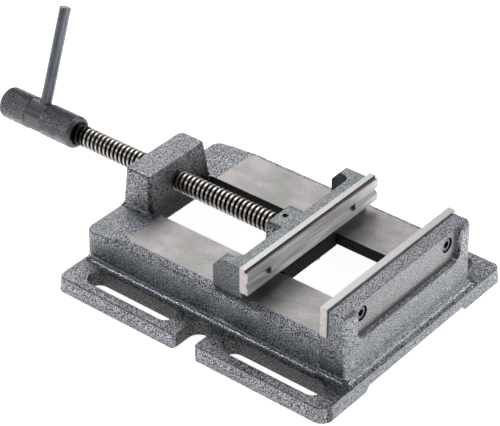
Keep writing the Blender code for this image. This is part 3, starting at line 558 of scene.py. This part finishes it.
def spindlePiece():
    start, end, root = helixSettings["start"], helixSettings["end"], threadSettings["root"]
    crest = threadSettings["crest"] + helixSettings["chamfer"]
    ridge = spindleThread()
    blank = turnedRod(
        "threadBlank",
        [
            (start, root),
            (start + helixSettings["lead"], crest),
            (end - helixSettings["runout"], crest),
            (end, root + helixSettings["chamfer"] / 2),
        ],
        helixSettings["blankSides"],
    )
    trim = ridge.modifiers.new("trim", "BOOLEAN")
    trim.operation = "INTERSECT"
    trim.solver = "EXACT"
    trim.object = blank
    applyModifiers(ridge)
    bpy.data.objects.remove(blank)
    rod = turnedRod("spindleRod", helixSettings["rod"], helixSettings["rodSides"])
    deselectAll()
    rod.select_set(True)
    ridge.select_set(True)
    bpy.context.view_layer.objects.active = ridge
    bpy.ops.object.join()
    ridge.name = "spindleScrew"
    makeActive(ridge)
    bpy.ops.object.shade_smooth_by_angle(angle=math.radians(helixSettings["smoothAngle"]))
    ridge.data.materials.clear()
    ridge.data.materials.append(threadSteel)
    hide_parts("spindle")
    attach(ridge, "spindle")
    return ridge


screw = spindlePiece()
print("thread wound:", len(screw.data.polygons), "faces")

# Diamond knurl on the handle, in front of and behind the plain band
knurlSettings = {
    "radius": 0.0125,
    "around": 64,
    "height": 0.0003,
    "wall": 0.0006,
    "rearBand": (-0.1922, -0.1689),
    "frontBand": (-0.1520, -0.1243),
    "alongLeast": 0.001,
    "rimMargin": 0.000007,
    "close": 0.00001,
}


def knurledBand(name, start, end):
    radius, around, axis = knurlSettings["radius"], knurlSettings["around"], threadSettings["axisHeight"]
    close = knurlSettings["close"]
    rows = round((end - start) / (2 * math.pi * radius / around))
    deselectAll()
    bpy.ops.mesh.primitive_cylinder_add(
        vertices=around, radius=radius, depth=end - start, end_fill_type="NOTHING",
        location=((start + end) / 2, 0, axis), rotation=(0, math.radians(90), 0),
    )
    band = bpy.context.object
    band.name = name
    settle(band)
    selectEdges(band, lambda a, b: abs(a.x - b.x) > knurlSettings["alongLeast"])
    bpy.ops.mesh.subdivide(number_cuts=rows - 1)
    bpy.ops.mesh.select_all(action="SELECT")
    bpy.ops.mesh.poke()

    def onRim(place):
        return math.hypot(place.y, place.z - axis) > radius - knurlSettings["rimMargin"]

    def crossing(a, b):
        atEnd = abs(a.x - b.x) < close and min(a.x - start, end - a.x) < close
        return onRim(a) and onRim(b) and not atEnd

    selectEdges(band, crossing)
    bpy.ops.mesh.dissolve_edges(use_verts=False)
    bpy.ops.mesh.select_all(action="SELECT")
    bpy.ops.mesh.poke(offset=knurlSettings["height"])
    bpy.ops.object.mode_set(mode="OBJECT")
    wall = band.modifiers.new("wall", "SOLIDIFY")
    wall.thickness = knurlSettings["wall"]
    wall.offset = -1
    applyModifiers(band)
    band.data.materials.append(knurlSteel)
    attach(band, "spindle")
    return band


for name, ends in (("knurlRear", knurlSettings["rearBand"]), ("knurlFront", knurlSettings["frontBand"])):
    band = knurledBand(name, *ends)
    print(name, len(band.data.polygons), "faces")

# Faces of the casting, found by their place and by where they point
castSettings = {
    "way": {"level": 0.040, "close": 0.0001, "flat": 0.999, "farStrip": 0.0727},
    "opening": {"x": (-0.0225, 0.1652), "halfWidth": 0.0313, "z": (0.001, 0.0399), "facing": 0.5},
    "bridge": {"x": (-0.0285, -0.0025), "halfWidth": 0.0333, "top": 0.0665, "facing": 0.5},
    "rim": {"flange": (0.0108, 0.0121), "top": 0.0664, "slope": (0.1, 0.97)},
    "outerWall": {"beyond": 0.06, "z": (0.0125, 0.0395), "facing": 0.8},
    "flangeTop": {"level": 0.012, "close": 0.0003, "beyond": 0.07, "flat": 0.97},
    "front": {"from": 0.172, "facing": 0.35},
    "foot": {
        "beyond": 0.07, "wall": (0.0121, 0.022), "bridgeHalf": 0.045, "bridgeUntil": -0.0225,
        "bridge": (0.0369, 0.0409), "slope": (0.12, 0.97),
    },
    "panel": {"place": 0.18391, "close": 0.0003, "flat": 0.99},
    "panelStep": {"x": (0.18371, 0.18991), "halfWidth": 0.0646, "z": (0.018, 0.0655), "notFacing": 0.9},
    "counterbore": {"x": (0.17191, 0.18381), "y": (-0.0516, 0.0484), "height": 0.0573, "radius": 0.0063},
    "slot": {"y": (0.075, 0.1005), "below": 0.0115, "upright": 0.3},
    "boss": {"x": (0.068, 0.088), "halfWidth": 0.02, "z": (0.041, 0.064), "facing": 0.3, "upright": 0.5},
}


def within(value, limits):
    return limits[0] < value < limits[1]


def onMilled(center, normal):
    way = castSettings["way"]
    return normal.z > way["flat"] and abs(center.z - way["level"]) < way["close"]


def onWays(center, normal):
    return onMilled(center, normal) and center.y < castSettings["way"]["farStrip"]


def cutFarStrip(piece):
    # The cutter stops short of the far edge, so a strip of paint stays there.
    makeActive(piece)
    bpy.ops.object.mode_set(mode="EDIT")
    bpy.ops.mesh.select_mode(type="FACE")
    bpy.ops.mesh.select_all(action="DESELECT")
    bpy.ops.object.mode_set(mode="OBJECT")
    for face in piece.data.polygons:
        face.select = onMilled(face.center, face.normal)
    bpy.ops.object.mode_set(mode="EDIT")
    bpy.ops.mesh.bisect(plane_co=(0, castSettings["way"]["farStrip"], 0), plane_no=(0, 1, 0))
    bpy.ops.object.mode_set(mode="OBJECT")


def inOpening(center, normal):
    # The side walls and the front wall of the opening, painted near black as painted shade; the rear wall
    # under the bridge keeps the paint.
    opening = castSettings["opening"]
    dark = abs(normal.y) > opening["facing"] or normal.x < -opening["facing"]
    inside = within(center.x, opening["x"]) and abs(center.y) < opening["halfWidth"]
    return dark and inside and within(center.z, opening["z"])


def bridgeFront(center, normal):
    # The bridge's front and the opening's rear wall below it, which get the painted shade
    bridge = castSettings["bridge"]
    front = within(center.x, bridge["x"]) and normal.x > bridge["facing"]
    return front and abs(center.y) < bridge["halfWidth"] and center.z < bridge["top"]


def onRim(center, normal):
    # The small roundings at the top of the flange, the bridge and the fixed jaw, painted darker as painted
    # shade along the edges
    rim = castSettings["rim"]
    return within(normal.z, rim["slope"]) and (within(center.z, rim["flange"]) or center.z > rim["top"])


# The outer side walls, which get the painted shade towards their foot.
def onOuterWall(center, normal):
    wall = castSettings["outerWall"]
    return abs(normal.y) > wall["facing"] and abs(center.y) > wall["beyond"] and within(center.z, wall["z"])


# The flange's top, which gets the painted shadow beside the walls.
def onFlangeTop(center, normal):
    flange = castSettings["flangeTop"]
    level = normal.z > flange["flat"] and abs(center.z - flange["level"]) < flange["close"]
    return level and abs(center.y) > flange["beyond"]


def onFront(center, normal):
    # The front of the fixed jaw and of the flange, which get a darker paint with evener grain: painted shade
    front = castSettings["front"]
    return normal.x > front["facing"] and center.x > front["from"]


def inFoot(center, normal):
    # The fillets at the foot of the side walls and of the bridge, where the paint pools and lies smooth
    foot = castSettings["foot"]
    wall = abs(center.y) > foot["beyond"] and within(center.z, foot["wall"])
    rear = abs(center.y) < foot["bridgeHalf"] and center.x < foot["bridgeUntil"]
    return within(normal.z, foot["slope"]) and (wall or (rear and within(center.z, foot["bridge"])))


def roundPanel(center, normal):
    # The step round the recessed panel, painted darker as painted shade in the recess
    step = castSettings["panelStep"]
    inside = abs(center.y) < step["halfWidth"] and within(center.z, step["z"])
    return inside and within(center.x, step["x"]) and normal.x < step["notFacing"]


def inCounterbore(center, normal):
    # Walls and floors of the two holes that take the heads of the socket screws, painted black as painted
    # shade round the heads
    bore = castSettings["counterbore"]
    across = min(abs(center.y - place) for place in bore["y"])
    return within(center.x, bore["x"]) and math.hypot(across, center.z - bore["height"]) < bore["radius"]


def inSlot(center, normal):
    # Walls of the four slots and of the two notches between them, painted dark as painted shade in the slots
    slot = castSettings["slot"]
    return abs(normal.z) < slot["upright"] and center.z < slot["below"] and within(abs(center.y), slot["y"])


def onPanel(center, normal):
    panel = castSettings["panel"]
    return normal.x > panel["flat"] and abs(center.x - panel["place"]) < panel["close"]


def onBossSide(center, normal):
    boss = castSettings["boss"]
    beside = abs(center.y) < boss["halfWidth"] and within(center.x, boss["x"]) and within(center.z, boss["z"])
    return beside and abs(normal.y) > boss["facing"] and abs(normal.z) < boss["upright"]


def belowWays(center, normal):
    return center.z < castSettings["opening"]["z"][1]


cutFarStrip(baseCasting)
for material, chosen in (
    (milledIron, onWays), (innerShadePaint, inOpening), (bridgeShadePaint, bridgeFront), (wallShadePaint, onOuterWall),
    (flangeShadowPaint, onFlangeTop), (frontShadePaint, onFront), (footPaint, inFoot), (rimShadePaint, onRim),
    (recessShadePaint, roundPanel), (blackOxideAndShade, inCounterbore), (slotShadePaint, inSlot), (panelPaint, onPanel),
):
    faceMaterial(baseCasting, material, chosen)
# The sides of the boss get the painted glints.
faceMaterial(jawCasting, bossGlintPaint, onBossSide)
# The jaw's faces below the ways get the same near black painted shade.
faceMaterial(jawCasting, innerShadePaint, belowWays)

# Faces of the jaw plates: below the step, in the groove, at the ends and on the step, with copies of the steel
# made lighter or darker as painted light and painted shade
plateSettings = {"step": 0.0655, "top": 0.0678, "facing": 0.3, "slope": 0.2, "end": 0.9}


def onPlateFront(center, normal):
    return normal.x > plateSettings["facing"] and center.z < plateSettings["step"]


def grooveSide(way):
    # The sides of the groove that look up (way 1) or down (way -1)
    def chosen(center, normal):
        slope = plateSettings["slope"]
        return normal.z * way > slope and normal.x > slope and center.z < plateSettings["step"]

    return chosen


def onPlateEnd(center, normal):
    return abs(normal.y) > plateSettings["end"]


def onStepWall(center, normal):
    return normal.x > plateSettings["facing"] and center.z > plateSettings["step"]


def onLedge(center, normal):
    ledge = (plateSettings["step"], plateSettings["top"])
    return normal.z > plateSettings["facing"] and within(center.z, ledge)


for material, chosen in (
    (plateFrontLightened, onPlateFront), (grooveRoofLightened, grooveSide(-1)), (grooveFloorDarkened, grooveSide(1)),
    (plateEndReflection, onPlateEnd), (plateStepShade, onStepWall), (plateLedgeShade, onLedge),
):
    faceMaterial(movingPlate, material, chosen)
faceMaterial(fixedPlate, plateEndReflection, onPlateEnd)

barSettings = {"endFacing": 0.9}
faceMaterial(bar, barEnd, lambda center, normal: normal.z > barSettings["endFacing"])
print("faces dressed")

stageSettings = {
    "size": 8.0, "paper": 0.92, "bounce": 0.25, "glow": 0.90,
    "world": 0.20, "sky": (0.93, 0.97, 1.0),
}


def whiteFloor():
    # The paper is white to the camera, and a plain grey to the light that it sends back.
    bpy.ops.mesh.primitive_plane_add(size=stageSettings["size"], location=(0, 0, 0))
    floor = bpy.context.object
    floor.name = "floor"
    material, shader = newMaterial("floorPaper", (0.9, 0.9, 0.9), 0.9)
    ray = addNode(material, "ShaderNodeLightPath")
    seen = ray.outputs["Is Camera Ray"]
    for kind in ("Is Glossy Ray", "Is Transmission Ray"):
        either = addNode(material, "ShaderNodeMath", operation="MAXIMUM")
        link(material, seen, either.inputs[0])
        link(material, ray.outputs[kind], either.inputs[1])
        seen = either.outputs["Value"]
    paper, bounce, glow = stageSettings["paper"], stageSettings["bounce"], stageSettings["glow"]
    tone = mixColors(material, seen, (bounce, bounce, bounce), (paper, paper, paper))
    link(material, tone.outputs[2], shader.inputs["Base Color"])
    shader.inputs["Specular IOR Level"].default_value = 0.0
    shader.inputs["Emission Color"].default_value = (1, 1, 1, 1)
    strength = rangeOf(material, seen, 0.0, glow)
    link(material, strength.outputs["Result"], shader.inputs["Emission Strength"])
    floor.data.materials.append(material)


deselectAll()
whiteFloor()


def areaLight(name, place, target, size, power):
    bpy.ops.object.light_add(type="AREA", location=place)
    lamp = bpy.context.object
    lamp.name = name
    lamp.data.shape = "RECTANGLE"
    lamp.data.size, lamp.data.size_y = size
    lamp.data.energy = power
    lamp.rotation_euler = (Vector(target) - Vector(place)).to_track_quat("-Z", "Y").to_euler()


areaLight("topSoftbox", (-0.85, 0.75, 1.20), (0.05, 0, 0), (1.1, 1.1), 11.5)
areaLight("backSoftbox", (0.95, 1.05, 0.87), (0.12, 0, 0.02), (0.6, 0.6), 7)
areaLight("rightFill", (1.3, -0.1, 0.10), (0.1, 0, 0.05), (1.0, 0.16), 3)
areaLight("edgeLight", (-0.78, -1.00, 1.0), (0.05, -0.08, 0.02), (0.55, 0.10), 2.4)

world = bpy.data.worlds.new("studio")
bpy.context.scene.world = world
world.use_nodes = True
background = world.node_tree.nodes["Background"]
background.inputs["Color"].default_value = (*stageSettings["sky"], 1)
background.inputs["Strength"].default_value = stageSettings["world"]
bpy.context.scene.view_settings.view_transform = "Standard"
print("stage lit")
